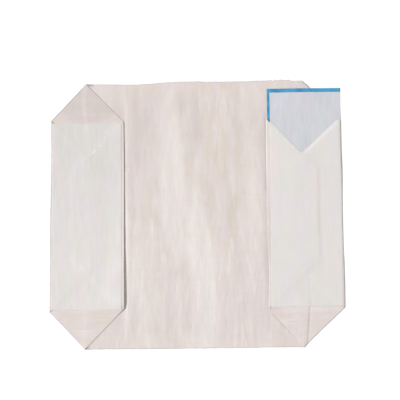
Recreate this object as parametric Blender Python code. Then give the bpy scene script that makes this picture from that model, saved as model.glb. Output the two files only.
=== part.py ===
"""A block-bottom valve bag of coated woven polypropylene, empty and lying flat.

Metres, +Z up. The tube runs along X. Its closed end is at -X and its valve end is at +X.
The origin is the middle of the underside.

The bag is one woven tube. Its back panel lies on the floor. At each end the front panel turns
back over itself, the corners squash flat into pockets, and two flaps fold in over the end's
centre line. Each end is laid out in its own coordinates: u is the distance from that centre
line, positive away from the bag's middle, and y runs across the bag.
"""

from math import copysign, radians, sqrt

import bmesh
import bpy
from mathutils import Vector
from mathutils.geometry import delaunay_2d_cdt

# The bag as it lies
BAG_LENGTH = 0.440
TUBE_WIDTH = 0.400
BOTTOM_WIDTH = 0.110
FLAP_OVERLAP = 0.040

# Fabric, thicker than the real 0.13 mm so that it is a sound solid
PLY = 0.0002
PLY_GAP = 0.0003

# Cover patches, by their margins inside the edges of the folded end
PATCH_OUTER_MARGIN = 0.0025
PATCH_INNER_MARGIN = 0.0055
PATCH_END_MARGIN = 0.0030
NOTCH_SETBACK = 0.0015

# Valve sleeve: a flattened tube that lies in one corner pocket, under the flaps
SLEEVE_LENGTH = 0.140
SLEEVE_SETBACK = 0.011
SLEEVE_SIDE_GAP = 0.0003

# Blue tape round the sleeve's mouth and down its inner side
TAPE_MOUTH_WIDTH = 0.0050
TAPE_SIDE_WIDTH = 0.0035

# How the folded plies are fused into one solid
SAME_POINT = 1e-7
SAME_PLANE = radians(0.1)
HEIGHT_DIGITS = 7
INSIDE_OUTLINES = 1

# Everything below follows from the sizes above
HALF_WIDTH = TUBE_WIDTH / 2
HALF_BOTTOM = BOTTOM_WIDTH / 2
END_LINE = BAG_LENGTH / 2 - HALF_BOTTOM
SHOULDER = HALF_WIDTH - HALF_BOTTOM
FLAP_REACH = FLAP_OVERLAP / 2
POCKET_BASE = HALF_WIDTH - (BOTTOM_WIDTH + FLAP_REACH)
V_APEX = HALF_WIDTH - BOTTOM_WIDTH
PITCH = PLY + PLY_GAP
POCKET_HALF = HALF_BOTTOM - PITCH
POCKET_CORNER = HALF_WIDTH - POCKET_HALF
TUCK_TOP = SHOULDER - PITCH
SLANT = sqrt(2) * PLY
SLEEVE_HALF = POCKET_HALF - PLY - SLEEVE_SIDE_GAP
SLEEVE_MOUTH = HALF_WIDTH - SLEEVE_SETBACK
SLEEVE_FOOT = SLEEVE_MOUTH - SLEEVE_LENGTH

# The layers of each end, from the floor up
BODY_LAYERS = ["back", "front", "turn", "pocket"]
VALVE_LAYERS = ["sleeve_under", "sleeve_over", "tape"]
FLAP_LAYERS = ["outer_tuck", "outer_flap", "inner_tuck", "inner_flap", "patch"]
CLOSED_END = {"side": -1, "layers": BODY_LAYERS + FLAP_LAYERS}
VALVE_END = {"side": 1, "layers": BODY_LAYERS + VALVE_LAYERS + FLAP_LAYERS}


def clear_scene():
    for obj in list(bpy.data.objects):
        bpy.data.objects.remove(obj, do_unlink=True)


def material(name, colour, roughness):
    mat = bpy.data.materials.new(name)
    mat.use_nodes = True
    shader = mat.node_tree.nodes["Principled BSDF"]
    shader.inputs["Base Color"].default_value = (*colour, 1)
    shader.inputs["Roughness"].default_value = roughness
    shader.inputs["Metallic"].default_value = 0
    return mat


def new_object(name, bm):
    bmesh.ops.recalc_face_normals(bm, faces=bm.faces)
    mesh = bpy.data.meshes.new(name)
    bm.to_mesh(mesh)
    bm.free()
    return bpy.data.objects.new(name, mesh)


def prism(name, outline, low, high):
    """An object with the given (x, y) outline from one height to another."""
    bm = bmesh.new()
    face = bm.faces.new([bm.verts.new((x, y, low)) for x, y in outline])
    top = bmesh.ops.extrude_face_region(bm, geom=[face])["geom"]
    risen = [v for v in top if isinstance(v, bmesh.types.BMVert)]
    bmesh.ops.translate(bm, verts=risen, vec=(0, 0, high - low))
    return new_object(name, bm)


def floor_of(end, layer):
    """Height of the underside of one layer."""
    return end["layers"].index(layer) * PITCH


def on_end(end, outline):
    """Turns (u, y) points of one end into (x, y) points."""
    return [(end["side"] * (END_LINE + u), y) for u, y in outline]


def mirrored(outline, u_sign, y_sign):
    return [(u_sign * u, y_sign * y) for u, y in outline]


def across(points):
    """Closes an outline that is the same on both sides of the bag's middle line."""
    return points + [(u, -y) for u, y in reversed(points)]


def ply(end, outline, layer):
    """One layer of cloth: its outline, its underside and its top."""
    low = floor_of(end, layer)
    return on_end(end, outline), low, low + PLY


def crease(end, outline, below, above):
    """A strip along a fold, from the underside of one layer to the top of another."""
    return on_end(end, outline), floor_of(end, below), floor_of(end, above) + PLY


def body():
    """Both panels between the two ends, and the creases that join them along both sides."""
    slant = [(0, HALF_WIDTH), (POCKET_HALF, POCKET_CORNER), (HALF_BOTTOM, SHOULDER)]
    quarter = on_end(VALVE_END, slant)
    back = across(quarter) + [(-x, y) for x, y in reversed(across(quarter))]
    front = [(x, y) for x, y in back if abs(x) == END_LINE]
    front_top = PITCH + PLY
    parts = [(back, 0, PLY), (front, PITCH, front_top)]
    for edge in (-HALF_WIDTH, HALF_WIDTH):
        inside = edge - copysign(PLY, edge)
        strip = [(-END_LINE, edge), (END_LINE, edge), (END_LINE, inside), (-END_LINE, inside)]
        parts.append((strip, 0, front_top))
    return parts


def turned_front(end):
    """The front panel turned back over itself at the centre line, as far as the long inner edge."""
    slant = [(0, HALF_WIDTH), (-POCKET_HALF, POCKET_CORNER), (-HALF_BOTTOM, SHOULDER)]
    strip = [(0, HALF_WIDTH), (-PLY, HALF_WIDTH - 2 * PLY)]
    return [
        ply(end, across(slant), "turn"),
        crease(end, across(strip), "front", "turn"),
    ]


def corner_pocket(end, y_sign):
    """One corner squashed flat, with the slanting creases that join it to the plies below."""
    tip = (0, HALF_WIDTH)
    corner = (POCKET_HALF, POCKET_CORNER)
    sheet = [
        tip,
        corner,
        (POCKET_HALF, POCKET_BASE),
        (-POCKET_HALF, POCKET_BASE),
        (-POCKET_HALF, POCKET_CORNER),
    ]
    fold = [tip, corner, (POCKET_HALF, POCKET_CORNER - SLANT), (0, HALF_WIDTH - SLANT)]
    return [
        ply(end, mirrored(sheet, 1, y_sign), "pocket"),
        crease(end, mirrored(fold, -1, y_sign), "turn", "pocket"),
        crease(end, mirrored(fold, 1, y_sign), "back", "pocket"),
    ]


def flap(end, u_sign):
    """One flap: its top ply, and the crease along the bottom's long edge that it folds on."""
    which, below = ("inner_flap", "turn") if u_sign < 0 else ("outer_flap", "back")
    slant = [(HALF_BOTTOM, SHOULDER), (POCKET_HALF, TUCK_TOP), (-FLAP_REACH, POCKET_BASE)]
    strip = [(HALF_BOTTOM, SHOULDER), (HALF_BOTTOM - PLY, TUCK_TOP)]
    return [
        ply(end, mirrored(across(slant), u_sign, 1), which),
        crease(end, mirrored(across(strip), u_sign, 1), below, which),
    ]


def flap_tuck(end, u_sign, y_sign):
    """The pocket ply tucked under a flap, with the slanting crease that shows as half of the V."""
    flap_name = "inner_flap" if u_sign < 0 else "outer_flap"
    tuck_name = "inner_tuck" if u_sign < 0 else "outer_tuck"
    top = (POCKET_HALF, TUCK_TOP)
    foot = (POCKET_HALF, POCKET_BASE)
    tip = (-FLAP_REACH, POCKET_BASE)
    inside = POCKET_HALF - PLY
    side_fold = [top, (inside, TUCK_TOP - 2 * PLY), (inside, POCKET_BASE), foot]
    v_fold = [top, tip, (SLANT - FLAP_REACH, POCKET_BASE), (POCKET_HALF, TUCK_TOP - SLANT)]
    return [
        ply(end, mirrored([top, tip, foot], u_sign, y_sign), tuck_name),
        crease(end, mirrored(side_fold, u_sign, y_sign), "pocket", tuck_name),
        crease(end, mirrored(v_fold, u_sign, y_sign), tuck_name, flap_name),
    ]


def anticlockwise(outline):
    following = outline[1:] + outline[:1]
    twice_area = sum(x0 * y1 - x1 * y0 for (x0, y0), (x1, y1) in zip(outline, following))
    return outline if twice_area > 0 else outline[::-1]


def fused(name, parts):
    """One solid from many outlines, each with its underside and top, where they meet or overlap.

    The outlines are laid over each other and cut into triangles. Each triangle is filled over
    the heights that its outlines cover, and only the faces between filled and empty are kept.
    """
    points = []
    rings = []
    for outline, low, high in parts:
        rings.append(list(range(len(points), len(points) + len(outline))))
        points += [Vector(p) for p in anticlockwise(outline)]
    plan = delaunay_2d_cdt(points, [], rings, INSIDE_OUTLINES, SAME_POINT)
    corners, triangles, covered_by = plan[0], plan[2], plan[5]

    heights = sorted({round(z, HEIGHT_DIGITS) for _, low, high in parts for z in (low, high)})
    spans = [[heights.index(round(z, HEIGHT_DIGITS)) for z in part[1:]] for part in parts]
    filled = set()
    for t, outlines in enumerate(covered_by):
        for low, high in (spans[i] for i in outlines):
            filled.update((t, level) for level in range(low, high))

    beside = {}
    for t, triangle in enumerate(triangles):
        for k in range(3):
            beside[triangle[k], triangle[(k + 1) % 3]] = t

    bm = bmesh.new()
    made = {}

    def vertex(corner, level):
        if (corner, level) not in made:
            made[corner, level] = bm.verts.new((*corners[corner], heights[level]))
        return made[corner, level]

    for t, level in sorted(filled):
        a, b, c = triangles[t]
        if (t, level - 1) not in filled:
            bm.faces.new([vertex(v, level) for v in (c, b, a)])
        if (t, level + 1) not in filled:
            bm.faces.new([vertex(v, level + 1) for v in (a, b, c)])
        for v, w in ((a, b), (b, c), (c, a)):
            if (beside.get((w, v)), level) not in filled:
                ring = ((v, level), (w, level), (w, level + 1), (v, level + 1))
                bm.faces.new([vertex(*place) for place in ring])
    bm.normal_update()
    bmesh.ops.dissolve_limit(bm, angle_limit=SAME_PLANE, verts=bm.verts, edges=bm.edges)
    bmesh.ops.triangulate(bm, faces=bm.faces, ngon_method="BEAUTY")
    return new_object(name, bm)


def bag_tube():
    """The folded tube, with every ply and crease of it."""
    parts = body()
    for end in (CLOSED_END, VALVE_END):
        parts += turned_front(end)
        for sign in (-1, 1):
            parts += corner_pocket(end, sign)
            parts += flap(end, sign)
            for y_sign in (-1, 1):
                parts += flap_tuck(end, sign, y_sign)
    return fused("bag_tube", parts)


def layer_prism(end, name, outline, layer):
    """A piece that is one flat layer."""
    return prism(name, *ply(end, outline, layer))


def closed_end_patch():
    inner = PATCH_INNER_MARGIN - HALF_BOTTOM
    outer = HALF_BOTTOM - PATCH_OUTER_MARGIN
    reach = SHOULDER - PATCH_END_MARGIN
    outline = [(inner, -reach), (outer, -reach), (outer, reach), (inner, reach)]
    return layer_prism(CLOSED_END, "closed_end_patch", outline, "patch")


def valve_end_patch():
    """The cover patch of the valve end, cut out to the V that the flaps leave round the sleeve."""
    inner = PATCH_INNER_MARGIN - HALF_BOTTOM
    outer = HALF_BOTTOM - PATCH_OUTER_MARGIN
    foot = PATCH_END_MARGIN - SHOULDER
    apex = V_APEX - sqrt(2) * NOTCH_SETBACK
    outline = [(inner, foot), (outer, foot), (outer, apex + outer), (0, apex), (inner, apex - inner)]
    return layer_prism(VALVE_END, "valve_end_patch", outline, "patch")


def section_ring(bm, y, inset):
    """One rectangle of the sleeve's cross-section: its outside, or its inside when inset."""
    left = END_LINE - SLEEVE_HALF + inset
    right = END_LINE + SLEEVE_HALF - inset
    low = floor_of(VALVE_END, "sleeve_under") + inset
    high = floor_of(VALVE_END, "sleeve_over") + PLY - inset
    corners = ((left, low), (right, low), (right, high), (left, high))
    return [bm.verts.new((x, y, z)) for x, z in corners]


def bridge(bm, first, second):
    """Joins two rings of as many points with a band of faces."""
    for i in range(len(first)):
        j = (i + 1) % len(first)
        bm.faces.new((first[i], first[j], second[j], second[i]))


def valve_sleeve():
    """A flattened tube, open at its mouth and at its inner end."""
    bm = bmesh.new()
    inner_outside = section_ring(bm, SLEEVE_FOOT, 0)
    inner_inside = section_ring(bm, SLEEVE_FOOT, PLY)
    mouth_outside = section_ring(bm, SLEEVE_MOUTH, 0)
    mouth_inside = section_ring(bm, SLEEVE_MOUTH, PLY)
    bridge(bm, inner_outside, mouth_outside)
    bridge(bm, inner_inside, mouth_inside)
    bridge(bm, inner_outside, inner_inside)
    bridge(bm, mouth_outside, mouth_inside)
    return new_object("valve_sleeve", bm)


def valve_edge_tape():
    """One piece of narrow tape, across the mouth and down the side nearer the bag's middle."""
    outline = [
        (-SLEEVE_HALF, SLEEVE_MOUTH),
        (-SLEEVE_HALF, SLEEVE_FOOT),
        (TAPE_SIDE_WIDTH - SLEEVE_HALF, SLEEVE_FOOT),
        (TAPE_SIDE_WIDTH - SLEEVE_HALF, SLEEVE_MOUTH - TAPE_MOUTH_WIDTH),
        (SLEEVE_HALF, SLEEVE_MOUTH - TAPE_MOUTH_WIDTH),
        (SLEEVE_HALF, SLEEVE_MOUTH),
    ]
    return layer_prism(VALVE_END, "valve_edge_tape", outline, "tape")


def main():
    clear_scene()
    pieces = (
        (bag_tube(), material("woven_polypropylene", (0.77, 0.70, 0.66), 0.45)),
        (closed_end_patch(), material("closed_end_patch_fabric", (0.76, 0.73, 0.70), 0.40)),
        (valve_end_patch(), material("valve_end_patch_fabric", (0.76, 0.73, 0.70), 0.40)),
        (valve_sleeve(), material("sleeve_fabric", (0.65, 0.66, 0.70), 0.50)),
        (valve_edge_tape(), material("blue_tape", (0.04, 0.30, 0.58), 0.45)),
    )
    for obj, mat in pieces:
        obj.data.materials.append(mat)
        bpy.context.scene.collection.objects.link(obj)


main()
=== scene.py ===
"""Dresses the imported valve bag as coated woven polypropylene, lying flat under soft light.

Metres, in the frame's own coordinates. The bag is one woven tube, so its cloth is made here as
the flat cut that it comes from and is then folded: every ply, crease, pocket and flap of the
finished mesh is the same sheet. The plies rest on each other through height fields, one for
each layer, which sag over the edges of the plies below them.

Three sets of coordinates are used. The cut's own are v, along the tube from its middle, and c,
round it from the middle of the front panel. The true plan is x and y on a bag folded without
error. The plan as it lies is x and y after off_true.
"""

from math import cos, pi, radians, sin, sqrt

import bpy
import numpy as np
from mathutils import Matrix, Vector
from mathutils.bvhtree import BVHTree
from mathutils.geometry import delaunay_2d_cdt


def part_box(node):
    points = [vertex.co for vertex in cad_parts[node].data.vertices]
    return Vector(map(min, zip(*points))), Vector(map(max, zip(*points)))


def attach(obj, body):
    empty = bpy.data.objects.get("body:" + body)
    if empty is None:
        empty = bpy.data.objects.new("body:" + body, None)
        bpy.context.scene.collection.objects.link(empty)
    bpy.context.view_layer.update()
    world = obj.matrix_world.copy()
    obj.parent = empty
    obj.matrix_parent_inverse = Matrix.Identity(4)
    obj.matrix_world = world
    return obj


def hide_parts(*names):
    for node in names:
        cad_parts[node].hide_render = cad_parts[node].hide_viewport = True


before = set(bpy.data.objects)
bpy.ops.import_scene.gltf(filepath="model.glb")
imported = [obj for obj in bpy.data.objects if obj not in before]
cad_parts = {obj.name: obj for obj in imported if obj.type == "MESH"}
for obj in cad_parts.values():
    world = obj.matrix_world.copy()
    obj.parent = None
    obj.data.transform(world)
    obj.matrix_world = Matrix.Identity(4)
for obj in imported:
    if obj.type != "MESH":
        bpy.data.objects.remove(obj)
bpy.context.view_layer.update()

# Sizes read from the frame
_, tube_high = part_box("bag_tube")
closed_low, closed_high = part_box("closed_end_patch")
valve_low, valve_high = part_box("valve_end_patch")
sleeve_low, sleeve_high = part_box("valve_sleeve")

# From a patch's inner edge to the inner fold, and from an end's centre line to its flaps' cuts
PATCH_INNER_MARGIN = 0.0055
FLAP_REACH = 0.02

# The folded bag: the middle line of each end, its corners, its flaps and its V's
HALF_LENGTH = tube_high.x
HALF_WIDTH = tube_high.y
INNER_EDGE = -closed_high.x - PATCH_INNER_MARGIN
END_LINE = (HALF_LENGTH + INNER_EDGE) / 2
HALF_BOTTOM = HALF_LENGTH - END_LINE
SHOULDER = HALF_WIDTH - HALF_BOTTOM
FLAP_CUT = 2 * HALF_BOTTOM + FLAP_REACH
POCKET_BASE = HALF_WIDTH - FLAP_CUT
V_APEX = HALF_WIDTH - 2 * HALF_BOTTOM
CUT_LENGTH = 2 * (END_LINE + FLAP_CUT)
CUT_WIDTH = 4 * HALF_WIDTH
SLEEVE_HALF = (sleeve_high.x - sleeve_low.x) / 2
SLEEVE_LENGTH = sleeve_high.y - sleeve_low.y

# The blue strip
TAPE_MOUTH_WIDTH = 0.0055
TAPE_SIDE_WIDTH = 0.0034
TAPE_OVERHANG = 0.0003  # past the sleeve's mouth and its inner side

# The thickness of the tube's cloth and of the other sheets, and the least gap between plies
PLY = 0.00015
FILM = 0.0001
GAP = 0.0001
BONDED_GAP = 0.00005

# How far from a fold line its rounding begins
SIDE_REACH = 0.0004
CENTRE_REACH = 0.0005
SLANT_REACH = 0.0006
EDGE_REACH = 0.0007
FILM_REACH = 0.0002

# How far the pocket plies stay back from the fold that they lie inside
NEST = 0.0006

# The woven tapes of the cloth
TAPE_PITCH = 0.0025

SEED = 7

# Points of a cut this close are one
SAME_POINT = 1e-6


# Height fields

# The grid's cell, and how far it reaches past the bag
CELL = 0.001
RIM = 0.012


class Field:
    """A grid over part of the plan, to hold heights."""

    def __init__(self, low, high):
        self.low = low
        self.counts = [round((b - a) / CELL) + 1 for a, b in zip(low, high)]
        axes = [a + CELL * np.arange(n) for a, n in zip(low, self.counts)]
        self.x, self.y = np.meshgrid(*axes, indexing="ij")

    def sample(self, values, x, y):
        """The values between the grid's points."""
        just_inside = 1.001
        fx = np.clip((x - self.low[0]) / CELL, 0, self.counts[0] - just_inside)
        fy = np.clip((y - self.low[1]) / CELL, 0, self.counts[1] - just_inside)
        i, j = fx.astype(int), fy.astype(int)
        tx, ty = fx - i, fy - j
        near = values[i, j] * (1 - tx) + values[i + 1, j] * tx
        far = values[i, j + 1] * (1 - tx) + values[i + 1, j + 1] * tx
        return near * (1 - ty) + far * ty


PLAN = Field((-HALF_LENGTH - RIM, -HALF_WIDTH - RIM), (HALF_LENGTH + RIM, HALF_WIDTH + RIM))


def blurred(z):
    """A small blur of a height field."""
    for axis in (0, 1):
        pad = [(2, 2) if axis == k else (0, 0) for k in (0, 1)]
        p = np.pad(z, pad, mode="edge")
        n = z.shape[axis]
        a, b, c, d, e = (np.take(p, range(k, k + n), axis=axis) for k in range(5))
        z = (a + 4 * b + 6 * c + 4 * d + e) / 16
    return z


def draped(support, passes):
    """A sheet laid on a support: it never sinks into it, and it slopes down past its edges."""
    z = support
    for _ in range(passes):
        z = np.maximum(support, blurred(z))
    return blurred(np.maximum(z, blurred(z)))


def ripples(x, y, length_x, length_y, seed):
    """A smooth random surface between about -1 and 1, with waves of about these lengths."""
    count = 28
    random = np.random.default_rng(SEED + seed)
    total = np.zeros_like(x)
    for _ in range(count):
        kx = random.normal() * 2 * pi / length_x
        ky = random.normal() * 2 * pi / length_y
        total += np.sin(kx * x + ky * y + random.uniform(0, 2 * pi))
    return total * sqrt(2 / count) / 2


def smooth(t):
    t = np.clip(t, 0, 1)
    return t * t * (3 - 2 * t)


def hump(x, centre, width):
    """A soft ridge across x."""
    return np.exp(-(((x - centre) / width) ** 2))


def layer_masks():
    """Where each layer lies in plan, from the floor up, with a cell to spare all round."""
    u, y = np.abs(PLAN.x) - END_LINE, np.abs(PLAN.y)
    slant = y <= HALF_WIDTH - np.abs(u) + CELL
    in_bottom = np.abs(u) <= HALF_BOTTOM + CELL
    body = (u <= 0) & (y <= HALF_WIDTH + CELL)
    outer_v = (u >= -FLAP_REACH - CELL) & in_bottom & (y <= V_APEX + u + CELL)
    inner_v = (u <= FLAP_REACH + CELL) & in_bottom & (y <= V_APEX - u + CELL)
    deep = y >= POCKET_BASE - CELL
    # Where the sleeve shows, it lies off its true place by a few cells
    beside = np.where(PLAN.y > SHOULDER + 0.006, 5 * CELL, CELL)
    past_mouth = 8 * CELL
    sleeve = (
        (np.abs(PLAN.x - END_LINE) <= SLEEVE_HALF + beside)
        & (PLAN.y >= sleeve_low.y - CELL)
        & (PLAN.y <= sleeve_high.y + past_mouth)
    )
    return {
        "back": body | ((u > 0) & in_bottom & slant),
        "front": body,
        "turn": (u <= CELL) & in_bottom & slant,
        "pocket": in_bottom & slant & deep,
        "sleeve_under": sleeve,
        "sleeve_over": sleeve,
        "tape": sleeve,
        "outer_tuck": outer_v & deep,
        "outer_flap": outer_v,
        "inner_tuck": inner_v & deep,
        "inner_flap": inner_v,
    }


def front_air(x, y):
    """The front panel billows a little and is held down along its four sides."""
    billow_height, swell, valve_end_drop = 0.0014, 0.0006, 0.0006
    fold_height, crumple_height = 0.00022, 0.00008
    bend_height, bend_y, bend_wander, bend_width = 0.00018, -0.033, 0.0015, 0.0022
    to_side = HALF_WIDTH - np.abs(y)
    to_end = INNER_EDGE - np.abs(x)
    dive = 0.5 * smooth((to_end + 0.002) / 0.018) + 0.5 * smooth((to_end + 0.002) / 0.009)
    loose = smooth((to_side - 0.001) / 0.045) * dive
    drop = valve_end_drop * smooth((x - 0.04) / 0.05)
    billow = billow_height + swell * ripples(x, y, 0.12, 0.22, 2) - drop
    crumple = crumple_height * ripples(x, y, 0.01, 0.06, 4)
    folds = fold_height * ripples(x, y, 0.03, 0.2, 3) + crumple
    bend_line = bend_y + bend_wander * ripples(x, y, 0.09, 1, 12)
    across = bend_height * hump(y, bend_line, bend_width)
    quiet = smooth(to_side / 0.015) * smooth((to_end + 0.004) / 0.01)
    return np.maximum(billow * loose + (folds + across) * quiet, 0)


def turn_air(x, y):
    """The turned-back panel stands up along its inner fold, most at the closed end's lower part."""
    closed_reach, valve_reach, valve_lift = 0.03, 0.045, 0.0006
    past_shoulder, fade = 0.007, 0.016
    closed_end = x < 0
    from_fold = np.abs(x) - INNER_EDGE
    t = y / SHOULDER
    closed_lift = 0.0014 - 0.0015 * t + 0.0003 * t * t
    lift = np.where(closed_end, closed_lift, valve_lift)
    reach = np.where(closed_end, closed_reach, valve_reach)
    along = smooth((SHOULDER + past_shoulder - np.abs(y)) / fade)
    return lift * smooth(1 - from_fold / reach) * along


# The middle of the stretch where the valve end's flap shows through its patch
FLAP_MIDDLE = 0.002


def flap_air(x, y):
    """At the valve end the inner flap stands up a little along its cut edge."""
    height, reach, half_run, fade = 0.0003, 0.022, 0.076, 0.018
    to_cut = np.abs(x - END_LINE - FLAP_REACH)
    along = smooth((half_run - np.abs(y - FLAP_MIDDLE)) / fade)
    return height * smooth(1 - to_cut / reach) * along


def back_air(x, y):
    """The back panel waves a little over the floor."""
    height = 0.00015
    return height * (1 + ripples(x, y, 0.09, 0.12, 1))


def pocket_air(x, y):
    """The corner pockets wave a little and stand up at their tips."""
    tip_height, tip_reach, wave_height = 0.0005, 0.012, 0.00012
    to_tip = np.hypot(np.abs(x) - END_LINE, HALF_WIDTH - np.abs(y))
    waves = wave_height * (1 + ripples(x, y, 0.035, 0.05, 5))
    return tip_height * smooth(1 - to_tip / tip_reach) + waves


def mouth_air(x, y):
    """The sleeve's upper ply stands up a little towards its mouth."""
    height = 0.0005
    return height * smooth((y - 0.15) / 0.04) * hump(x, END_LINE + 0.008, 0.03)


# What lifts a layer off the one below it, besides the least gap
AIR = {"back": back_air, "front": front_air, "turn": turn_air, "pocket": pocket_air,
       "sleeve_over": mouth_air, "inner_flap": flap_air}

# Passes of draping: a stiffer layer bridges wider. Then what differs from cloth with usual gaps.
USUAL_STIFFNESS = 8
STIFFNESS = {"tape": 2, "front": 10, "back": 1, "pocket": 30, "sleeve_under": 40,
             "outer_flap": 70, "inner_flap": 40}
THICKNESS = {"sleeve_under": FILM, "sleeve_over": FILM, "tape": FILM}
LAID_CLOSE = {"sleeve_over": BONDED_GAP, "tape": BONDED_GAP}


def stacked():
    """The height of the middle of each layer's cloth, over the true plan."""
    top = np.zeros_like(PLAN.x)
    heights = {}
    for name, mask in layer_masks().items():
        half = THICKNESS.get(name, PLY) / 2
        stiffness = STIFFNESS.get(name, USUAL_STIFFNESS)
        rest = draped(top + LAID_CLOSE.get(name, GAP), stiffness)
        air = AIR[name](PLAN.x, PLAN.y) if name in AIR else 0
        heights[name] = rest + air + half
        top = np.where(mask, heights[name] + half, top)
    return heights


heights = stacked()


# How this bag's folds lie off true. For each x of the true plan: y, and the shift in x and in y.
OFF_TRUE = (
    (-HALF_LENGTH, (SHOULDER, -0.0009, -0.001), (0, -0.0013, 0), (-SHOULDER, -0.0017, -0.0019)),
    (-END_LINE, (HALF_WIDTH, -0.0022, 0.0006), (V_APEX, 0.0012, -0.0015),
     (-HALF_WIDTH, -0.0032, -0.0028)),
    (-INNER_EDGE, (SHOULDER, 0.0003, -0.0026), (0, 0.0008, 0), (-SHOULDER, 0.001, 0.003)),
    (-0.085, (HALF_WIDTH, 0, -0.0004)),
    (-0.035, (HALF_WIDTH, 0, 0.0029)),
    (0.06, (HALF_WIDTH, 0, 0.0028)),
    (0.13, (HALF_WIDTH, 0, 0.0044)),
    (-0.085, (-HALF_WIDTH, 0, -0.0026)),
    (0.06, (-HALF_WIDTH, 0, -0.0022)),
    (INNER_EDGE, (SHOULDER, -0.0015, -0.0012), (0, -0.0022, 0), (-SHOULDER, -0.001, 0.0015)),
    (END_LINE, (HALF_WIDTH, -0.0008, 0.0028), (V_APEX, -0.0015, -0.003),
     (-HALF_WIDTH, -0.0046, -0.0015)),
    (HALF_LENGTH, (SHOULDER, 0.0018, -0.0034), (0.055, 0.003, -0.0012), (0, 0.0024, 0),
     (-SHOULDER, 0.0027, 0.0019)),
)
WARP_REACH = 0.02  # how softly the shifts run into each other
warp_points = np.array([(x, y) for x, *rows in OFF_TRUE for y, _, _ in rows])
warp_shifts = np.array([shift for _, *rows in OFF_TRUE for _, *shift in rows])


def nearness(x, y):
    """A smooth distance from every listed point, with a row for each point asked about."""
    offsets = np.column_stack((x, y))[:, None] - warp_points
    return np.sqrt((offsets ** 2).sum(axis=2) + WARP_REACH ** 2)


warp_weights = np.linalg.solve(nearness(*warp_points.T), warp_shifts)


def ragged(x, y):
    """How far the bag's two long edges wander and where they are nicked."""
    wander_depth, nick_depth, upper_share, lower_share = 0.00025, 0.0009, 1.5, 0.8
    at_edge = smooth((np.abs(y) - HALF_WIDTH + 0.018) / 0.016)
    wander = wander_depth * ripples(x, y * 0, 0.03, 1, 8)
    nicks = nick_depth * ripples(x, y * 0, 0.007, 1, 9)
    upper = smooth((x - 0.105) / 0.01) * smooth((0.158 - x) / 0.01) * (y > 0)
    lower = hump(x, 0.0, 0.028) * (y < 0)
    return np.sign(y) * at_edge * (wander + nicks * (upper_share * upper + lower_share * lower))


def crushed_corner(x, y):
    """How far the bag's corner above the valve is pushed out, along both axes."""
    bulge = 0.0014
    return bulge * hump(x, END_LINE + 0.0085, 0.0055) * hump(y, HALF_WIDTH - 0.0065, 0.006)


def off_true(x, y):
    """Moves points of the true plan with the listed points, smoothly in between."""
    moved = nearness(x, y) @ warp_weights
    corner = crushed_corner(x, y)
    return x + moved[:, 0] + corner, y + moved[:, 1] + ragged(x, y) + corner


def back_to_true(x, y):
    """The points of the true plan that off_true moves here."""
    rounds = 4
    tx, ty = x, y
    for _ in range(rounds):
        mx, my = off_true(tx, ty)
        tx, ty = tx + x - mx, ty + y - my
    return tx, ty


# Folding the tube

def rounded(d, reach):
    """The distance |d| from a fold line, rounded near the line as an arc."""
    bend = reach * (1 - np.cos(pi * d / (2 * reach)))
    return np.where(np.abs(d) < reach, bend, np.abs(d))


def past(d, reach):
    """0 before a fold line, 1 after it, and an arc's rise in between."""
    return 0.5 + 0.5 * np.sin(pi / 2 * np.clip(d / reach, -1, 1))


def mixed(a, b, share):
    """a where share is 0, b where it is 1."""
    return a * (1 - share) + b * share


# Pressed ridges in the pockets, listed by end and side. Across the pocket, from where the tube's
# side crease runs on into it and towards the back panel: where each ridge starts, peaks and ends.
# Then its height, and where it starts and stops along the pocket, from the tip.
POCKET_RIDGES = {
    (-1, 1): ((-0.0025, 0.0015, 0.0076, 0.00022, 0.012, 0.06),),
    (-1, -1): ((-0.001, 0, 0.001, 0.00003, 0.002, 0.052),),
    (1, -1): (
        (-0.022, 0.0034, 0.0053, 0.0005, 0.002, 0.07),
        (-0.02, 0.006, 0.03, 0.00018, 0.002, 0.07),
        (-0.0022, -0.0007, 0.0007, 0.00013, 0.004, 0.042),
        (0.0007, 0.0018, 0.003, 0.00008, 0.004, 0.042),
        (0.0046, 0.0062, 0.0088, -0.00014, 0.002, 0.06),
    ),
}

# The mesh has lines along the ridges, at these places across the pocket, in millimetres
MILLIMETRE = 0.001
RIDGE_LINES = (-2.2, -1.4, -0.7, 0, 0.7, 1.8, 2.6, 3.4, 4.4, 5.3, 6.2, 7.4, 9.0)


def pocket_ridges(v, c, q):
    """The height of the ridges in the pockets."""
    fade = 0.006
    total = np.zeros_like(v)
    past_end = np.abs(v) - END_LINE
    for (end, side), ridges in POCKET_RIDGES.items():
        here = (np.sign(v) == end) & (np.sign(c) == side)
        for first, peak, last, height, start, stop in ridges:
            window = smooth((past_end - start) / fade) * smooth((stop - past_end) / fade)
            total += here * window * height * np.interp(-q, (first, peak, last), (0, 1, 0))
    return total


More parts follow.
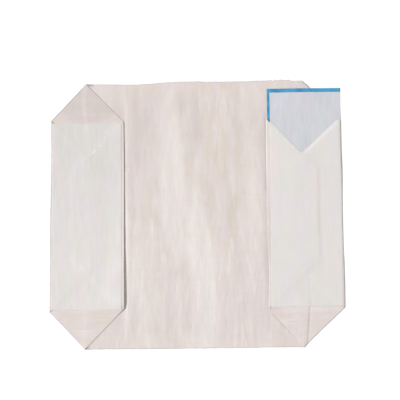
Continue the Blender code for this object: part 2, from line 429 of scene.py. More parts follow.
def folded(v, c):
    """Where points of the flat cut lie on the folded bag.

    q is the distance from the tube's side crease, above 0 on the front panel, and s that past an
    end's centre line. u is the plan's distance past that line, and inward that from the side.
    """
    q = HALF_WIDTH - np.abs(c)
    e = np.abs(q)
    s = np.abs(v) - END_LINE
    corner = past((s - e) / sqrt(2), SLANT_REACH)
    offset = (s + e) / 2 - rounded((s - e) / sqrt(2), SLANT_REACH) / sqrt(2)
    side = rounded(q, SIDE_REACH)
    inward = (s + side) / 2 + rounded((s - side) / sqrt(2), SLANT_REACH) / sqrt(2)
    fold = HALF_BOTTOM - NEST * corner
    u = fold - rounded(offset - fold, EDGE_REACH)
    flap = past(offset - fold, EDGE_REACH)
    turned = past(s, CENTRE_REACH)
    front = past(q, SIDE_REACH)
    at_centre = np.where(s < HALF_BOTTOM, rounded(u, CENTRE_REACH), u)
    u = np.where(q > 0, -at_centre, u)
    x = np.sign(v) * (END_LINE + u)
    y = np.sign(c) * (HALF_WIDTH - inward)

    z = {name: PLAN.sample(field, x, y) for name, field in heights.items()}
    pocket = z["pocket"] + pocket_ridges(v, c, q)
    corner_front = mixed(pocket, z["inner_tuck"], flap)
    corner_back = mixed(pocket, z["outer_tuck"], flap)
    end_front = mixed(mixed(z["turn"], z["inner_flap"], flap), corner_front, corner)
    z_front = mixed(z["front"], end_front, turned)
    z_back = mixed(mixed(z["back"], z["outer_flap"], flap), corner_back, corner)
    x, y = off_true(x, y)
    return np.column_stack((x, y, mixed(z_back, z_front, front)))


class Cut:
    """Points, and lines with a point at every step, to be joined into triangles."""

    def __init__(self, step):
        self.step = step
        self.points = []
        self.lines = []

    def line(self, start, end):
        """Evenly spaced points from start to end, joined up."""
        start, end = np.array(start, float), np.array(end, float)
        count = max(1, round(np.linalg.norm(end - start) / self.step))
        first = len(self.points)
        self.points += [tuple(start + (end - start) * k / count) for k in range(count + 1)]
        self.lines += [(first + k, first + k + 1) for k in range(count)]

    def outline(self, corners):
        for start, end in zip(corners, corners[1:] + corners[:1]):
            self.line(start, end)

    def band(self, start, end, reach, shares=(-1, -0.5, 0, 0.5, 1)):
        """A fold line with other lines beside it."""
        start, end = np.array(start, float), np.array(end, float)
        across = np.array((start[1] - end[1], end[0] - start[0])) / np.linalg.norm(end - start)
        for share in shares:
            self.line(start + across * share * reach, end + across * share * reach)

    def grid(self, low, high, steps, keep=None):
        """A grid of points inside a rectangle, where keep says so."""
        axes = []
        for a, b, step in zip(low, high, steps):
            count = max(1, round((b - a) / step))
            axes.append(a + (b - a) * (np.arange(count) + 0.5) / count)
        x, y = (g.ravel() for g in np.meshgrid(*axes))
        kept = np.ones(len(x), bool) if keep is None else keep(x, y)
        self.points += list(zip(x[kept], y[kept]))

    def triangles(self, output):
        """The joined points and their triangles, of the whole hull or inside the lines."""
        points = [Vector(p) for p in self.points]
        plan = delaunay_2d_cdt(points, self.lines, [], output, SAME_POINT)
        return np.array([tuple(p) for p in plan[0]]), [tuple(f) for f in plan[2]]


# Which triangles a cut asks for
WHOLE_HULL = 0
INSIDE_LINES = 1


def crease_clearance(v, c):
    """Distance from the nearest fold line of one quarter of the tube."""
    s = v - END_LINE
    e = np.abs(HALF_WIDTH - c)
    far = 1.0
    slant = np.where(s > 0, np.abs(s - e) / sqrt(2), far)
    centre = np.where(c > HALF_WIDTH, far, np.abs(s))
    flap = np.abs(np.minimum(s, e) - HALF_BOTTOM)
    return np.minimum.reduce([slant, e, centre, flap])


def tube_cut():
    """The flat cut of the tube, finer where it will show."""
    half_cut = CUT_LENGTH / 2
    half_round = CUT_WIDTH / 2
    clear = 0.0022
    crease_step = 0.003
    front_steps, under_steps, pocket_steps = (0.0017, 0.0036), (0.003, 0.004), (0.0022, 0.0022)
    flap_steps, back_steps = (0.005, 0.005), (0.007, 0.007)
    shoulder_out = HALF_WIDTH + HALF_BOTTOM
    fold_v = END_LINE + HALF_BOTTOM
    zones = (
        ((0, 0), (INNER_EDGE, HALF_WIDTH), front_steps),
        ((INNER_EDGE, 0), (END_LINE, HALF_WIDTH), under_steps),
        ((END_LINE, 0), (fold_v, SHOULDER), flap_steps),
        ((END_LINE, SHOULDER), (fold_v, shoulder_out), pocket_steps),
        ((fold_v, 0), (half_cut, SHOULDER), flap_steps),
        ((fold_v, SHOULDER), (half_cut, shoulder_out), flap_steps),
        ((fold_v, shoulder_out), (half_cut, half_round), flap_steps),
        ((0, HALF_WIDTH), (END_LINE, half_round), back_steps),
        ((END_LINE, shoulder_out), (fold_v, half_round), back_steps),
    )
    quarter = Cut(crease_step)
    tip = (END_LINE, HALF_WIDTH)
    ridges_end = (fold_v + 0.02, HALF_WIDTH)
    quarter.band((0, HALF_WIDTH), tip, SIDE_REACH)
    quarter.band(tip, ridges_end, MILLIMETRE, RIDGE_LINES)
    quarter.line(tip, (half_cut, HALF_WIDTH))
    quarter.band((END_LINE, 0), tip, CENTRE_REACH)
    quarter.band(tip, (half_cut, HALF_WIDTH - FLAP_CUT), SLANT_REACH)
    quarter.band(tip, (half_cut, HALF_WIDTH + FLAP_CUT), SLANT_REACH)
    quarter.band((fold_v, 0), (fold_v, SHOULDER), EDGE_REACH)
    quarter.band((fold_v, shoulder_out), (fold_v, half_round), EDGE_REACH)
    quarter.band((fold_v, SHOULDER), (half_cut, SHOULDER), EDGE_REACH)
    quarter.band((fold_v, shoulder_out), (half_cut, shoulder_out), EDGE_REACH)
    quarter.line((half_cut, 0), (half_cut, half_round))
    quarter.line((0, half_round), (half_cut, half_round))
    for low, high, steps in zones:
        quarter.grid(low, high, steps, lambda v, c: crease_clearance(v, c) > clear)
    cut = Cut(crease_step)
    limit = np.array((half_cut, half_round))
    for v_sign in (-1, 1):
        for c_sign in (-1, 1):
            first = len(cut.points)
            inside = np.clip(np.array(quarter.points), 0, limit)
            cut.points += [(v_sign * v, c_sign * c) for v, c in inside]
            cut.lines += [(first + a, first + b) for a, b in quarter.lines]
    return cut.triangles(WHOLE_HULL)


def placed(name, data):
    """A new object in the scene."""
    obj = bpy.data.objects.new(name, data)
    bpy.context.scene.collection.objects.link(obj)
    return obj


def mesh_object(name, points, faces, cut, thickness, welded=None, inner_material=0):
    """A sheet with its flat cut as a UV map. welded has the same faces, with a seam joined."""
    mesh = bpy.data.meshes.new(name)
    mesh.from_pydata(points.tolist(), [], welded or faces)
    layer = mesh.uv_layers.new(name="cut")
    corners = np.array(faces).ravel()
    layer.data.foreach_set("uv", cut[corners].astype(np.float32).ravel())
    mesh.shade_smooth()
    obj = placed(name, mesh)
    solid = obj.modifiers.new("thickness", "SOLIDIFY")
    solid.thickness = thickness
    solid.offset = 0
    solid.material_offset = inner_material
    evened = obj.modifiers.new("even shading", "WEIGHTED_NORMAL")
    evened.weight = 100
    return obj


def joined_seam(faces, cut):
    """Faces with the two long edges of the tube's cut welded, in the middle of the back."""
    digits = 5
    kept = {}
    new_index = np.arange(len(cut))
    for i in np.flatnonzero(np.abs(np.abs(cut[:, 1]) - CUT_WIDTH / 2) < SAME_POINT):
        new_index[i] = kept.setdefault(round(float(cut[i, 0]), digits), i)
    return [tuple(int(new_index[i]) for i in face) for face in faces]


def bag_tube():
    """The tube, with the uncoated face of its cloth inside."""
    cut, faces = tube_cut()
    points = folded(cut[:, 0], cut[:, 1])
    welded = joined_seam(faces, cut)
    return mesh_object("woven_bag_tube", points, faces, cut, PLY, welded, inner_material=1)


# The pieces laid on or in the tube


def shifted(corners, shifts):
    return [(x + dx, y + dy) for (x, y), (dx, dy) in zip(corners, shifts)]


class Surface:
    """The upper surface of finished pieces, over a rectangle of the plan."""

    def __init__(self, pieces, low, high):
        graph = bpy.context.evaluated_depsgraph_get()
        trees = [BVHTree.FromObject(piece, graph) for piece in pieces]
        self.field = Field(low, high)
        above = 0.1
        down = Vector((0, 0, -1))
        self.support = np.zeros_like(self.field.x)
        for i, j in np.ndindex(self.support.shape):
            start = Vector((self.field.x[i, j], self.field.y[i, j], above))
            hits = [tree.ray_cast(start, down)[0] for tree in trees]
            self.support[i, j] = max((hit.z for hit in hits if hit), default=0)

    def laid(self, passes):
        return draped(self.support + BONDED_GAP, passes) + FILM / 2


def limp_share(y):
    """Where the valve end's patch follows what is below it closely: its middle, and round the V."""
    half_run, fade, before_v = 0.071, 0.008, 0.002
    middle = smooth((half_run - np.abs(y - FLAP_MIDDLE)) / fade)
    return np.maximum(middle, smooth((y - V_APEX + before_v) / fade))


def cover(name, corners, pieces, limp=None):
    """A cover patch, laid on the finished pieces below it."""
    step = 0.0014
    stiff, soft = 30, 3
    waviness = 0.00005
    rim = 3 * CELL
    low, high = np.min(corners, axis=0), np.max(corners, axis=0)
    below = Surface(pieces, low - rim, high + rim)
    x, y = below.field.x, below.field.y
    z_field = below.laid(stiff)
    if limp is not None:
        z_field = mixed(z_field, below.laid(soft), limp(y))
    z_field += waviness * (1 + ripples(x, y, 0.05, 0.09, 6))
    cut = Cut(step)
    cut.outline(corners)
    cut.grid(low, high, (step, step))
    flat, faces = cut.triangles(INSIDE_LINES)
    z = below.field.sample(z_field, flat[:, 0], flat[:, 1])
    return mesh_object(name, np.column_stack((flat, z)), faces, flat, FILM)


def closed_end_outline():
    a, b = closed_low, closed_high
    corners = [(a.x, a.y), (b.x, a.y), (b.x, b.y), (a.x, b.y)]
    shifts = [(-0.0015, -0.0016), (0.0024, -0.0018), (0.0021, -0.0033), (-0.001, -0.0022)]
    return shifted(corners, shifts)


def valve_end_outline():
    """The patch is cut along the V, a little way over the edges of the flaps below it."""
    a, b = valve_low, valve_high
    arm = b.y - V_APEX
    notch = 0.0008
    corners = [(a.x, a.y), (b.x, a.y), (b.x, b.y), (END_LINE + arm, b.y), (END_LINE + notch, V_APEX),
               (END_LINE - notch, V_APEX), (a.x, V_APEX + END_LINE - a.x)]
    shifts = [(-0.0034, 0.0006), (0.0026, 0.0018), (0.0038, 0.0026), (-0.0001, 0.0006),
              (-0.0028, 0.0022), (-0.0028, 0.0022), (-0.0016, 0.0021)]
    return shifted(corners, shifts)


# How the sleeve's corners, left and right, lie off their true places
FOOT_SHIFTS = ((-0.0005, 0), (0.0023, 0))
MOUTH_SHIFTS = ((-0.0007, 0.0014), (0.0034, 0.0019))


def sleeve_place(x, y):
    """Where a point of the true sleeve lies."""
    s = (x - END_LINE + SLEEVE_HALF) / (2 * SLEEVE_HALF)
    t = (y - sleeve_low.y) / SLEEVE_LENGTH
    foot = [mixed(left, right, s) for left, right in zip(*FOOT_SHIFTS)]
    mouth = [mixed(left, right, s) for left, right in zip(*MOUTH_SHIFTS)]
    dx, dy = (mixed(low, high, t) for low, high in zip(foot, mouth))
    return x + dx, y + dy


def height_as_laid(layer, x, y):
    """A layer's height at points of the plan as it lies."""
    return PLAN.sample(heights[layer], *back_to_true(x, y))


def valve_sleeve():
    """The flattened sleeve: both plies and the folds along its two sides."""
    along, spaced_across = 70, 120
    spaced = np.linspace(-2 * SLEEVE_HALF, 2 * SLEEVE_HALF, spaced_across, endpoint=False)
    beside_fold = np.array((-0.0008, -0.0003, -0.0001, 0, 0.0001, 0.0003, 0.0008))
    clear = 0.001
    spaced = spaced[np.abs(np.abs(spaced) - SLEEVE_HALF) > clear]
    columns = np.sort(np.concatenate((spaced, beside_fold - SLEEVE_HALF, beside_fold + SLEEVE_HALF)))
    across = len(columns)
    c, y = np.meshgrid(columns, np.linspace(sleeve_low.y, sleeve_high.y, along))
    c, y = c.ravel(), y.ravel()
    q = SLEEVE_HALF - np.abs(c)
    over = past(q, FILM_REACH)
    x = END_LINE + np.sign(c) * (SLEEVE_HALF - rounded(q, FILM_REACH))
    px, py = sleeve_place(x, y)
    z = mixed(height_as_laid("sleeve_under", px, py), height_as_laid("sleeve_over", px, py), over)
    faces = []
    for row in range(along - 1):
        for k in range(across):
            a, b = row * across + k, row * across + (k + 1) % across
            faces.append((a, b, b + across, a + across))
    return mesh_object("valve_sleeve_film", np.column_stack((px, py, z)), faces,
                       np.column_stack((c, y)), FILM)


def valve_tape():
    """The strip along the sleeve's mouth and down its inner side."""
    step = 0.0012
    left, right = END_LINE - SLEEVE_HALF - TAPE_OVERHANG, END_LINE + SLEEVE_HALF
    mouth, foot = sleeve_high.y + TAPE_OVERHANG, sleeve_low.y
    side = END_LINE - SLEEVE_HALF + TAPE_SIDE_WIDTH
    below = sleeve_high.y - TAPE_MOUTH_WIDTH
    corners = [(left, mouth), (left, foot), (side, foot),
               (side, below), (right, below), (right, mouth)]
    cut = Cut(step)
    cut.outline([sleeve_place(*corner) for corner in corners])
    flat, faces = cut.triangles(INSIDE_LINES)
    z = height_as_laid("tape", flat[:, 0], flat[:, 1])
    return mesh_object("valve_edge_strip", np.column_stack((flat, z)), faces, flat, FILM)


# Materials

class Finish:
    """One material and its nodes. Values are numbers, colours or the outputs of other nodes.

    v and c are places on the flat cut, x and y those on the bag. Its noise runs over one pair.
    """

    def __init__(self, name, coat, coat_roughness, ior=1.49, on_cut=False):
        self.material = bpy.data.materials.new(name)
        self.material.use_nodes = True
        self.tree = self.material.node_tree
        self.shader = self.tree.nodes["Principled BSDF"]
        self.fill(self.shader, {"IOR": ior, "Coat Weight": coat, "Coat Roughness": coat_roughness})
        self.v, self.c, _ = self.apart(self.node("UVMap", {}, uv_map="cut"))
        self.x, self.y, _ = self.apart(self.node("TexCoord", {}, out="Object"))
        self.place = (self.v, self.c) if on_cut else (self.x, self.y)

    def fill(self, node, values):
        """Sets or links inputs of a node, by name or number."""
        for name, value in values.items():
            if isinstance(value, bpy.types.NodeSocket):
                self.tree.links.new(value, node.inputs[name])
            else:
                value = (*value, 1) if isinstance(value, tuple) else value
                node.inputs[name].default_value = value

    def node(self, kind, inputs, out=0, **settings):
        node = self.tree.nodes.new("ShaderNode" + kind)
        for name, value in settings.items():
            setattr(node, name, value)
        self.fill(node, inputs)
        return node.outputs[out]

    def apart(self, vector):
        return self.node("SeparateXYZ", {0: vector}).node.outputs

    def math(self, operation, *values):
        return self.node("Math", dict(enumerate(values)), operation=operation)

    def chained(self, operation, values):
        total, *others = values
        for value in others:
            total = self.math(operation, total, value)
        return total

    def plus(self, *values):
        return self.chained("ADD", values)

    def times(self, *values):
        return self.chained("MULTIPLY", values)

    def either(self, *masks):
        """The greatest of the masks at each place."""
        return self.chained("MAXIMUM", masks)

    def scaled(self, value, factor, shift=0):
        return self.math("MULTIPLY_ADD", value, factor, shift)

    def ramp(self, value, start, end, low=0, high=1):
        """A smooth step from low, before start, to high, past end."""
        inputs = {"Value": value, "From Min": start, "From Max": end, "To Min": low, "To Max": high}
        return self.node("MapRange", inputs, interpolation_type="SMOOTHSTEP")

    def noise(self, size_x, size_y, seed, detail=3, roughness=0.5, place=None):
        """Noise between about 0 and 1, with lumps of these sizes."""
        between_seeds = 3.7
        x, y = place or self.place
        x, y = self.scaled(x, 1 / size_x), self.scaled(y, 1 / size_y)
        vector = self.node("CombineXYZ", {0: x, 1: y, 2: seed * between_seeds})
        inputs = {"Vector": vector, "Scale": 1, "Detail": detail, "Roughness": roughness}
        return self.node("TexNoise", inputs)

    def mix(self, share, a, b, kind="MIX"):
        return self.node("Mix", {0: share, 6: a, 7: b}, out=2, data_type="RGBA", blend_type=kind)

    def toned(self, colour, tone):
        """The colour made lighter or darker by a factor near 1."""
        grey = self.node("CombineColor", {0: tone, 1: tone, 2: tone})
        return self.mix(1, colour, grey, "MULTIPLY")

    def done(self, colour, roughness, height, distance):
        """Joins the colour, the roughness and the bump to the shader."""
        normal = self.node("Bump", {"Strength": 1, "Distance": distance, "Height": height})
        self.fill(self.shader, {"Base Color": colour, "Roughness": roughness, "Normal": normal})
        return self.material

    def area(self, centre, size, edge=0.5, wobble=0):
        """1 inside an ellipse of the plan and 0 outside it, with a soft edge."""
        dx = self.scaled(self.x, 1 / size[0], -centre[0] / size[0])
        dy = self.scaled(self.y, 1 / size[1], -centre[1] / size[1])
        r = self.math("SQRT", self.plus(self.times(dx, dx), self.times(dy, dy)))
        return self.ramp(self.plus(r, wobble), 1 + edge, 1 - edge)

    def line(self, start, end, width):
        """1 on a straight line of the plan, fading over its width and towards its two ends."""
        run = Vector(end) - Vector(start)
        length = run.length
        a, b = run / length
        dx = self.math("SUBTRACT", self.x, start[0])
        dy = self.math("SUBTRACT", self.y, start[1])
        along = self.plus(self.scaled(dx, a), self.scaled(dy, b))
        across = self.plus(self.scaled(dx, -b), self.scaled(dy, a))
        near = self.ramp(self.math("ABSOLUTE", across), width, 0)
        middle = self.math("ABSOLUTE", self.math("SUBTRACT", along, length / 2))
        inside = self.ramp(middle, length / 2 + width, length / 2 - 3 * width)
        return self.times(near, inside)


def tape_edges(fin, positions, share):
    """Each way across the tapes: 0 at a tape's edge, rising to 1 over this share of the pitch."""
    return [fin.ramp(fin.math("PINGPONG", position, 0.5), 0, share) for position in positions]


def woven(fin, tone_share):
    """Flat tapes crossing over and under: their tone, and the relief of their edges."""
    v, c = fin.scaled(fin.v, 1 / TAPE_PITCH), fin.scaled(fin.c, 1 / TAPE_PITCH)
    v_tape, c_tape = fin.math("FLOOR", v), fin.math("FLOOR", c)
    over = fin.math("FLOORED_MODULO", fin.plus(v_tape, c_tape), 2)
    under = fin.scaled(over, -1, 1)
    along, from_tape_to_tape = 0.022 / TAPE_PITCH, 0.37
    round_tone = fin.noise(from_tape_to_tape, along, 11, place=(v_tape, c))
    along_tone = fin.noise(along, from_tape_to_tape, 12, place=(v, c_tape))
    cross_share = fin.scaled(over, 0.4)
    round_share = fin.scaled(cross_share, -1, 1)
    tone = fin.plus(fin.times(along_tone, cross_share), fin.times(round_tone, round_share))
    tone = fin.scaled(tone, tone_share, 1 - tone_share / 2)
    v_edge, c_edge = tape_edges(fin, (v, c), 0.16)
    relief = fin.plus(fin.times(c_edge, over), fin.times(v_edge, under))
    return tone, relief


class FoldLines:
    """Masks of the tube's folds, 1 on each, and of its panels and its folded ends."""

    def __init__(self, fin):
        # How far from a fold its mask begins, and where it is whole
        crease_fade, fold_fade, wide_fade = (0.0012, 0.0002), (0.0014, 0.0003), (0.0026, 0.0008)
        q = fin.scaled(fin.math("ABSOLUTE", fin.c), -1, HALF_WIDTH)
        s = fin.scaled(fin.math("ABSOLUTE", fin.v), 1, -END_LINE)
        e = fin.math("ABSOLUTE", q)
        self.bottom = fin.ramp(s, 0, 0.001)
        self.panel = fin.scaled(self.bottom, -1, 1)
        crease = fin.ramp(e, *crease_fade)
        self.side = fin.times(crease, self.panel)
        self.pocket = fin.times(crease, self.bottom)
        off_slant = fin.math("ABSOLUTE", fin.math("SUBTRACT", s, e))
        slant = fin.ramp(off_slant, *fold_fade)
        off_flap = fin.math("ABSOLUTE", fin.scaled(fin.math("MINIMUM", s, e), 1, -HALF_BOTTOM))
        flap = fin.ramp(off_flap, *fold_fade)
        front = fin.ramp(q, -0.001, 0.001)
        back = fin.scaled(front, -1, 1)
        lower = fin.ramp(fin.c, 0.01, -0.01)
        near_tip = fin.ramp(fin.x, 0.113, 0.121)
        self.inner = fin.times(flap, front)
        self.outer = fin.times(flap, back)
        self.lit_slant = fin.times(slant, fin.times(near_tip, lower, front))
        self.slant = fin.math("SUBTRACT", slant, self.lit_slant)
        wide = fin.times(fin.ramp(off_slant, *wide_fade), fin.scaled(lower, -1, 1))
        self.outer_slant = fin.times(fin.either(fin.scaled(slant, 0.7), wide), back)


def tip_gap_shade(fin, worn):
    """Painted shade in the open gaps at the tips of the two corners of the closed end."""
    upper = fin.area((-0.1635, 0.1995), (0.007, 0.005))
    lower = fin.area((-0.1645, -0.2025), (0.005, 0.004))
    return fin.times(fin.either(upper, lower), fin.ramp(worn, 0.56, 0.44, 0, 0.8))


# Where the front is paler, painted sheen of its broad folds with some whitening of the cloth: the
# middle of each area, its half sizes and its strength
SHEEN_AND_WHITENING_BANDS = (
    ((-0.036, 0.08), (0.017, 0.105), 0.48),
    ((-0.03, -0.03), (0.012, 0.045), 0.5),
    ((-0.003, -0.025), (0.014, 0.07), 0.6),
    ((0.015, -0.12), (0.015, 0.09), 0.6),
    ((-0.084, -0.113), (0.029, 0.1), 0.42),
    ((-0.073, -0.19), (0.014, 0.014), 0.45),
    ((-0.011, -0.189), (0.008, 0.016), 0.45),
    ((0.09, 0.055), (0.02, 0.1), 0.3),
)

# Where it is darker, in the same way: painted shade beside the ends' inner folds, and darker patches
# elsewhere
DARK_AND_SHADED_AREAS = (
    ((-0.095, 0.135), (0.03, 0.055), 0.4),
    ((-0.101, 0.03), (0.006, 0.13), 0.42),
    ((-0.104, -0.148), (0.02, 0.03), 0.32),
    ((-0.022, 0.17), (0.014, 0.02), 0.28),
    ((-0.001, 0.138), (0.009, 0.045), 0.42),
    ((-0.05, -0.13), (0.009, 0.06), 0.18),
    ((-0.022, -0.155), (0.01, 0.025), 0.22),
    ((0.1035, 0.1), (0.006, 0.05), 0.35),
)

# Painted shade on the front beside two folds, the valve end's inner fold and its lower slant: the
# ends of each line, its width and its strength
FOLD_SHADE_LINES = (
    ((0.1066, 0.15), (0.1064, 0.03), 0.0025, 0.9),
    ((0.1117, -0.1501), (0.153, -0.1921), 0.0022, 0.75),
)


def areas(fin, listed, wobble):
    """The listed areas, each at its strength, with wobbling outlines."""
    return fin.either(*(fin.scaled(fin.area(centre, size, wobble=wobble), strength)
                        for centre, size, strength in listed))


def ground(fin, blotch, fine, wobble):
    """The cloth's colour: pink and beige, with paler bands, streaks and dashes, partly whitening and
    partly painted sheen of its wrinkles and broad folds.
    """
    pink, beige, rosy = (0.69, 0.612, 0.578), (0.65, 0.578, 0.512), (0.7, 0.628, 0.628)
    pale_sheen = (0.79, 0.742, 0.706)
    dash = fin.noise(0.003, 0.03, 3, roughness=0.6)
    hue = fin.noise(0.012, 0.04, 6, roughness=0.6)
    beige_area = fin.area((0.046, 0.083), (0.055, 0.11), 0.45, wobble)
    beige_share = fin.plus(fin.ramp(blotch, 0.46, 0.66, 0, 0.55), fin.scaled(beige_area, 0.55))
    colour = fin.mix(fin.math("MINIMUM", beige_share, 1), pink, beige)
    colour = fin.mix(fin.ramp(hue, 0.42, 0.6, 0, 0.6), colour, rosy)
    lower = fin.ramp(fin.y, 0.04, -0.08, 0.45, 1.2)
    streaks = fin.times(fin.ramp(fine, 0.5, 0.7, 0, 0.45), lower)
    dashes = fin.times(fin.ramp(dash, 0.58, 0.74, 0, 0.5), lower)
    sheen_bands = areas(fin, SHEEN_AND_WHITENING_BANDS, wobble)
    # Painted sheen, with some whitening: paler where the wrinkles and broad folds would catch the
    # light
    pale_sheen_share = fin.plus(streaks, dashes, sheen_bands)
    return fin.mix(fin.math("MINIMUM", pale_sheen_share, 1), colour, pale_sheen)


def shade_and_dark_patches(fin, colour, folds, wobble):
    """Painted shade on the panels beside the folds, darker patches on them, and painted shade on the
    closed end's upper corner pocket.
    """
    shade_tint = (0.56, 0.492, 0.465)
    pocket = fin.times(fin.area((-0.1635, 0.172), (0.055, 0.032), 0.3), folds.bottom)
    lines = [fin.scaled(fin.line(start, end, width), strength)
             for start, end, width, strength in FOLD_SHADE_LINES]
    panel = fin.times(fin.either(areas(fin, DARK_AND_SHADED_AREAS, wobble), *lines), folds.panel)
    return fin.mix(fin.either(fin.scaled(pocket, 0.55), panel), colour, shade_tint)


def creased(fin, colour, folds, bare, worn):
    """The folds: dull where they are bare, whitened where rubbed, with a painted highlight on the
    valve end's lower slant, and painted shade with some dirt along the slants, the side creases and
    the outside.
    """
    bare_cloth, whitened_and_highlit, dirt_and_shade = (0.655, 0.632, 0.622), (0.78, 0.77, 0.77), (0.34, 0.315, 0.32)
    colour = fin.mix(fin.scaled(bare, 0.8), colour, bare_cloth)
    # Whitening from wear on the folds, and a painted highlight on the ridge of the lower slant
    rubbed_and_highlit = fin.either(fin.scaled(folds.inner, 0.7), folds.lit_slant, fin.scaled(folds.pocket, 0.6))
    rubbed_and_highlit = fin.times(rubbed_and_highlit, fin.ramp(worn, 0.44, 0.62, 0, 0.45))
    colour = fin.mix(rubbed_and_highlit, colour, whitened_and_highlit)
    # Painted shade, with some dirt, along the slants, the side creases, the outer folds and the
    # closed end's tips
    sides = fin.times(fin.either(folds.slant, folds.side), fin.ramp(worn, 0.64, 0.4, 0.2, 0.6))
    outer = fin.either(folds.outer, folds.outer_slant)
    outer = fin.times(outer, fin.ramp(worn, 0.66, 0.36, 0.6, 0.95))
    return fin.mix(fin.either(sides, outer, tip_gap_shade(fin, worn)), colour, dirt_and_shade)


def woven_fabric():
    """The tube's outer face: coated cloth, duller along its folds, with painted shade, painted
    highlights and some dirt on them.
    """
    fin = Finish("woven_polypropylene", coat=0.12, coat_roughness=0.3, on_cut=True)
    blotch = fin.noise(0.045, 0.12, 1)
    fine = fin.noise(0.01, 0.06, 2, detail=4, roughness=0.6)
    worn = fin.noise(0.006, 0.006, 4)
    across = fin.noise(0.06, 0.005, 5)
    wobble = fin.scaled(fin.plus(blotch, fine), 1.6, -1.6)
    folds = FoldLines(fin)
    bare = fin.either(folds.inner, folds.outer, folds.slant, folds.lit_slant)
    colour = ground(fin, blotch, fine, wobble)
    colour = shade_and_dark_patches(fin, colour, folds, wobble)
    colour = creased(fin, colour, folds, bare, worn)
    tone, relief = woven(fin, 0.12)
    tone = fin.times(tone, fin.scaled(across, 0.05, 0.975))
    matt = fin.scaled(fin.either(bare, folds.side), 0.85)
    roughness = fin.either(fin.scaled(fine, 0.22, 0.33), matt)
    return fin.done(fin.toned(colour, tone), roughness, relief, 0.00003)


def woven_inside():
    """The uncoated inner face, duller and a little browner."""
    fin = Finish("woven_polypropylene_inside", coat=0.08, coat_roughness=0.35, on_cut=True)
    pink, brown = (0.65, 0.572, 0.542), (0.585, 0.512, 0.475)
    blotch = fin.noise(0.03, 0.04, 21)
    fine = fin.noise(0.008, 0.03, 22, detail=4, roughness=0.6)
    brown_share = fin.ramp(fin.plus(blotch, fin.scaled(fine, 0.4, -0.2)), 0.42, 0.66, 0, 1)
    colour = fin.mix(brown_share, pink, brown)
    tone, relief = woven(fin, 0.1)
    return fin.done(fin.toned(colour, tone), fin.scaled(fine, 0.2, 0.45), relief, 0.00005)


# Painted highlights on the patches over the edges of the flaps below, with some stress whitening:
# start, end, half width and strength
CLOSED_HIGHLIGHTS = (
    ((-0.161, 0.09), (-0.1435, 0.107), 0.0011, 0.9),
    ((-0.138, 0.125), (-0.129, 0.135), 0.0011, 0.7),
    ((-0.167, 0.1275), (-0.1668, 0.137), 0.0012, 0.7),
    ((-0.132, 0.133), (-0.13, 0.1375), 0.0012, 0.6),
    ((-0.135, -0.13), (-0.178, -0.072), 0.0012, 0.25),
)
VALVE_HIGHLIGHTS = (
    ((0.118, 0.1305), (0.16, 0.0895), 0.0016, 0.3),
    ((0.166, 0.09), (0.212, 0.134), 0.002, 0.3),
    ((0.1735, -0.086), (0.174, -0.142), 0.003, 0.22),
)


def patch_fabric(name, marks, fade, inner_light, streaks, seed):
    """Coated cover cloth: smooth, with soft cloudy tints, and a few pressed marks painted as
    highlights with some whitening.

    fade is its tone at the upper and the lower end, inner_light that at the inner edge and past the
    middle, painted light where it is above 1, and streaks the range of tone across its streaks.
    """
    fin = Finish(name, coat=0.3, coat_roughness=0.2)
    lavender, olive, pink = (0.702, 0.664, 0.666), (0.688, 0.668, 0.628), (0.718, 0.656, 0.64)
    shade_tint, whitened_and_highlit = (0.58, 0.556, 0.538), (0.93, 0.93, 0.91)
    cloud = fin.noise(0.022, 0.045, seed)
    second = fin.noise(0.018, 0.05, seed + 1)
    streak = fin.noise(0.0055, 0.035, seed + 2, roughness=0.6)
    worn = fin.noise(0.0025, 0.0035, seed + 3)
    colour = fin.mix(fin.ramp(cloud, 0.4, 0.62), lavender, olive)
    colour = fin.mix(fin.ramp(second, 0.5, 0.7, 0, 0.8), colour, pink)
    # Painted shade on the closed end's patch near its lifted inner edge, at its lower end
    shaded_corner = fin.area((-0.116, -0.118), (0.012, 0.028))
    colour = fin.mix(fin.scaled(shaded_corner, 0.38), colour, shade_tint)
    # Painted highlights, with some stress whitening, along the listed lines
    for start, end, width, strength in marks:
        shown = fin.times(fin.line(start, end, width), fin.ramp(worn, 0.44, 0.58, 0, strength))
        colour = fin.mix(shown, colour, whitened_and_highlit)
    endwise = fin.ramp(fin.y, 0.14, -0.14, *fade)
    # Painted light: brighter towards the inner edge where inner_light is above 1
    inward = fin.ramp(fin.math("ABSOLUTE", fin.x), INNER_EDGE, END_LINE, *inner_light)
    tone = fin.times(fin.scaled(streak, streaks, 1 - streaks / 2), endwise, inward)
    tapes = fin.scaled(fin.x, 1 / TAPE_PITCH), fin.scaled(fin.y, 1 / TAPE_PITCH)
    relief = fin.plus(*tape_edges(fin, tapes, 0.2))
    return fin.done(fin.toned(colour, tone), fin.scaled(streak, 0.2, 0.28), relief, 0.000008)


def sleeve_film():
    """The sleeve: matt film, bluish grey with faint green and violet clouds."""
    fin = Finish("sleeve_film", coat=0.12, coat_roughness=0.3)
    blue, green, violet = (0.59, 0.59, 0.64), (0.57, 0.604, 0.606), (0.62, 0.584, 0.64)
    cloud = fin.noise(0.01, 0.026, 41)
    second = fin.noise(0.009, 0.03, 42)
    streak = fin.noise(0.0055, 0.03, 43, roughness=0.6)
    colour = fin.mix(fin.ramp(cloud, 0.44, 0.62), blue, green)
    colour = fin.mix(fin.ramp(second, 0.5, 0.68, 0, 0.8), colour, violet)
    colour = fin.toned(colour, fin.scaled(streak, 0.22, 0.89))
    return fin.done(colour, fin.scaled(cloud, 0.2, 0.4), streak, 0.00004)


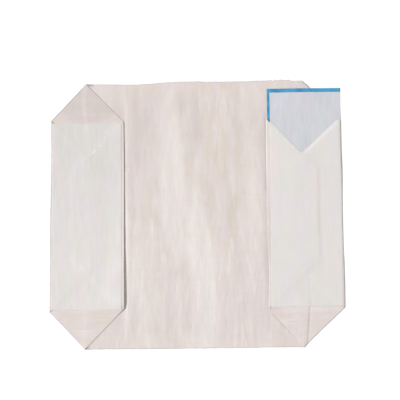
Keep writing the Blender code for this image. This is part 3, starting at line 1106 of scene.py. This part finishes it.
# Tints of the blue strip at its outer end, and painted shadow of the flap at its foot: place, half
# sizes and colour
TAPE_TINTS_AND_SHADE = (
    ((0.222, 0.189), (0.005, 0.006), (0.06, 0.33, 0.43)),
    ((0.223, 0.189), (0.0022, 0.006), (0.03, 0.205, 0.25)),
    ((0.1118, 0.14), (0.0035, 0.003), (0.025, 0.11, 0.19)),
)


def edge_tape():
    """The strip: smooth blue tape, uneven in colour, with painted shadow at its foot."""
    fin = Finish("edge_tape", coat=0.3, coat_roughness=0.2, ior=1.5)
    light, deep = (0.05, 0.318, 0.555), (0.03, 0.228, 0.46)
    cloud = fin.noise(0.012, 0.012, 51, detail=2)
    grain = fin.noise(0.0012, 0.0012, 52, detail=2)
    colour = fin.mix(fin.ramp(cloud, 0.4, 0.64), light, deep)
    for centre, size, tint in TAPE_TINTS_AND_SHADE:
        colour = fin.mix(fin.area(centre, size), colour, tint)
    return fin.done(colour, fin.scaled(grain, 0.25, 0.25), grain, 0.00002)


def dress(obj, mats, node):
    """Gives a piece its materials, and says what it rides, replaces and is made of."""
    for mat in mats:
        obj.data.materials.append(mat)
    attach(obj, "root")
    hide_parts(node)


# The studio

def studio_floor():
    """Pale paper, far wider than the view."""
    half = 4
    mesh = bpy.data.meshes.new("studio_floor")
    corners = [(-half, -half, 0), (half, -half, 0), (half, half, 0), (-half, half, 0)]
    mesh.from_pydata(corners, [], [(0, 1, 2, 3)])
    paper = bpy.data.materials.new("floor_paper")
    paper.use_nodes = True
    shader = paper.node_tree.nodes["Principled BSDF"]
    shader.inputs["Base Color"].default_value = (0.96, 0.96, 0.96, 1)
    shader.inputs["Roughness"].default_value = 0.9
    mesh.materials.append(paper)
    floor = placed("studio_floor", mesh)


def aimed(data, direction):
    """A light from this direction: its azimuth from +X and its elevation, in degrees."""
    azimuth, elevation = (radians(a) for a in direction)
    towards = Vector((cos(azimuth) * cos(elevation), sin(azimuth) * cos(elevation), sin(elevation)))
    light = placed(data.name, data)
    light.rotation_euler = towards.to_track_quat("Z", "Y").to_euler()
    return light, towards


def lighting():
    """A soft sun low over the closed end, a round softbox for the sheen, and a white sky."""
    sun_from, softbox_from, softbox_distance = (168, 38), (120, 48), 3
    key = bpy.data.lights.new("key", "SUN")
    key.energy = 2.82
    key.angle = radians(9)
    aimed(key, sun_from)
    sheen = bpy.data.lights.new("sheen_softbox", "AREA")
    sheen.shape = "DISK"
    sheen.size = 1.5
    sheen.energy = 3
    light, towards = aimed(sheen, softbox_from)
    light.location = towards * softbox_distance
    world = bpy.data.worlds.new("studio")
    world.use_nodes = True
    background = world.node_tree.nodes["Background"]
    background.inputs["Color"].default_value = (1, 1, 1, 1)
    background.inputs["Strength"].default_value = 0.53
    bpy.context.scene.world = world


def camera():
    """Almost overhead: tilt from straight down, the side that it leans to, and its roll."""
    tilt, lean, roll = radians(4.1), radians(4.1), radians(-0.49)
    distance = 1.183
    aim = Vector((0.0062, 0.0208, 0))
    back = Vector((sin(lean) * sin(tilt), -cos(lean) * sin(tilt), cos(tilt)))
    right = Vector((0, 1, 0)).cross(back).normalized()
    up = back.cross(right)
    turn = Matrix.Rotation(roll, 3, back)
    axes = Matrix((turn @ right, turn @ up, back)).transposed()
    data = bpy.data.cameras.new("overhead_camera")
    data.lens = 70
    data.clip_start = 0.05
    cam = placed("overhead_camera", data)
    cam.matrix_world = Matrix.Translation(aim + back * distance) @ axes.to_4x4()
    bpy.context.scene.camera = cam


camera()
lighting()
studio_floor()
bpy.context.scene.view_settings.view_transform = "Standard"

tube = bag_tube()
sleeve = valve_sleeve()
tape = valve_tape()
valve_corners = valve_end_outline()
closed_cover = cover("closed_end_cover", closed_end_outline(), [tube])
valve_cover = cover("valve_end_cover", valve_corners, [tube, sleeve, tape], limp_share)

dress(tube, [woven_fabric(), woven_inside()], "bag_tube")
closed_cloth = patch_fabric("patch_cloth_closed_end", CLOSED_HIGHLIGHTS, fade=(0.95, 1.015),
                            inner_light=(1, 1), streaks=0.16, seed=31)
valve_cloth = patch_fabric("patch_cloth_valve_end", VALVE_HIGHLIGHTS, fade=(1.01, 1.01),
                           inner_light=(1.035, 1), streaks=0.08, seed=61)
dress(closed_cover, [closed_cloth], "closed_end_patch")
dress(valve_cover, [valve_cloth], "valve_end_patch")
dress(sleeve, [sleeve_film()], "valve_sleeve")
dress(tape, [edge_tape()], "valve_edge_tape")
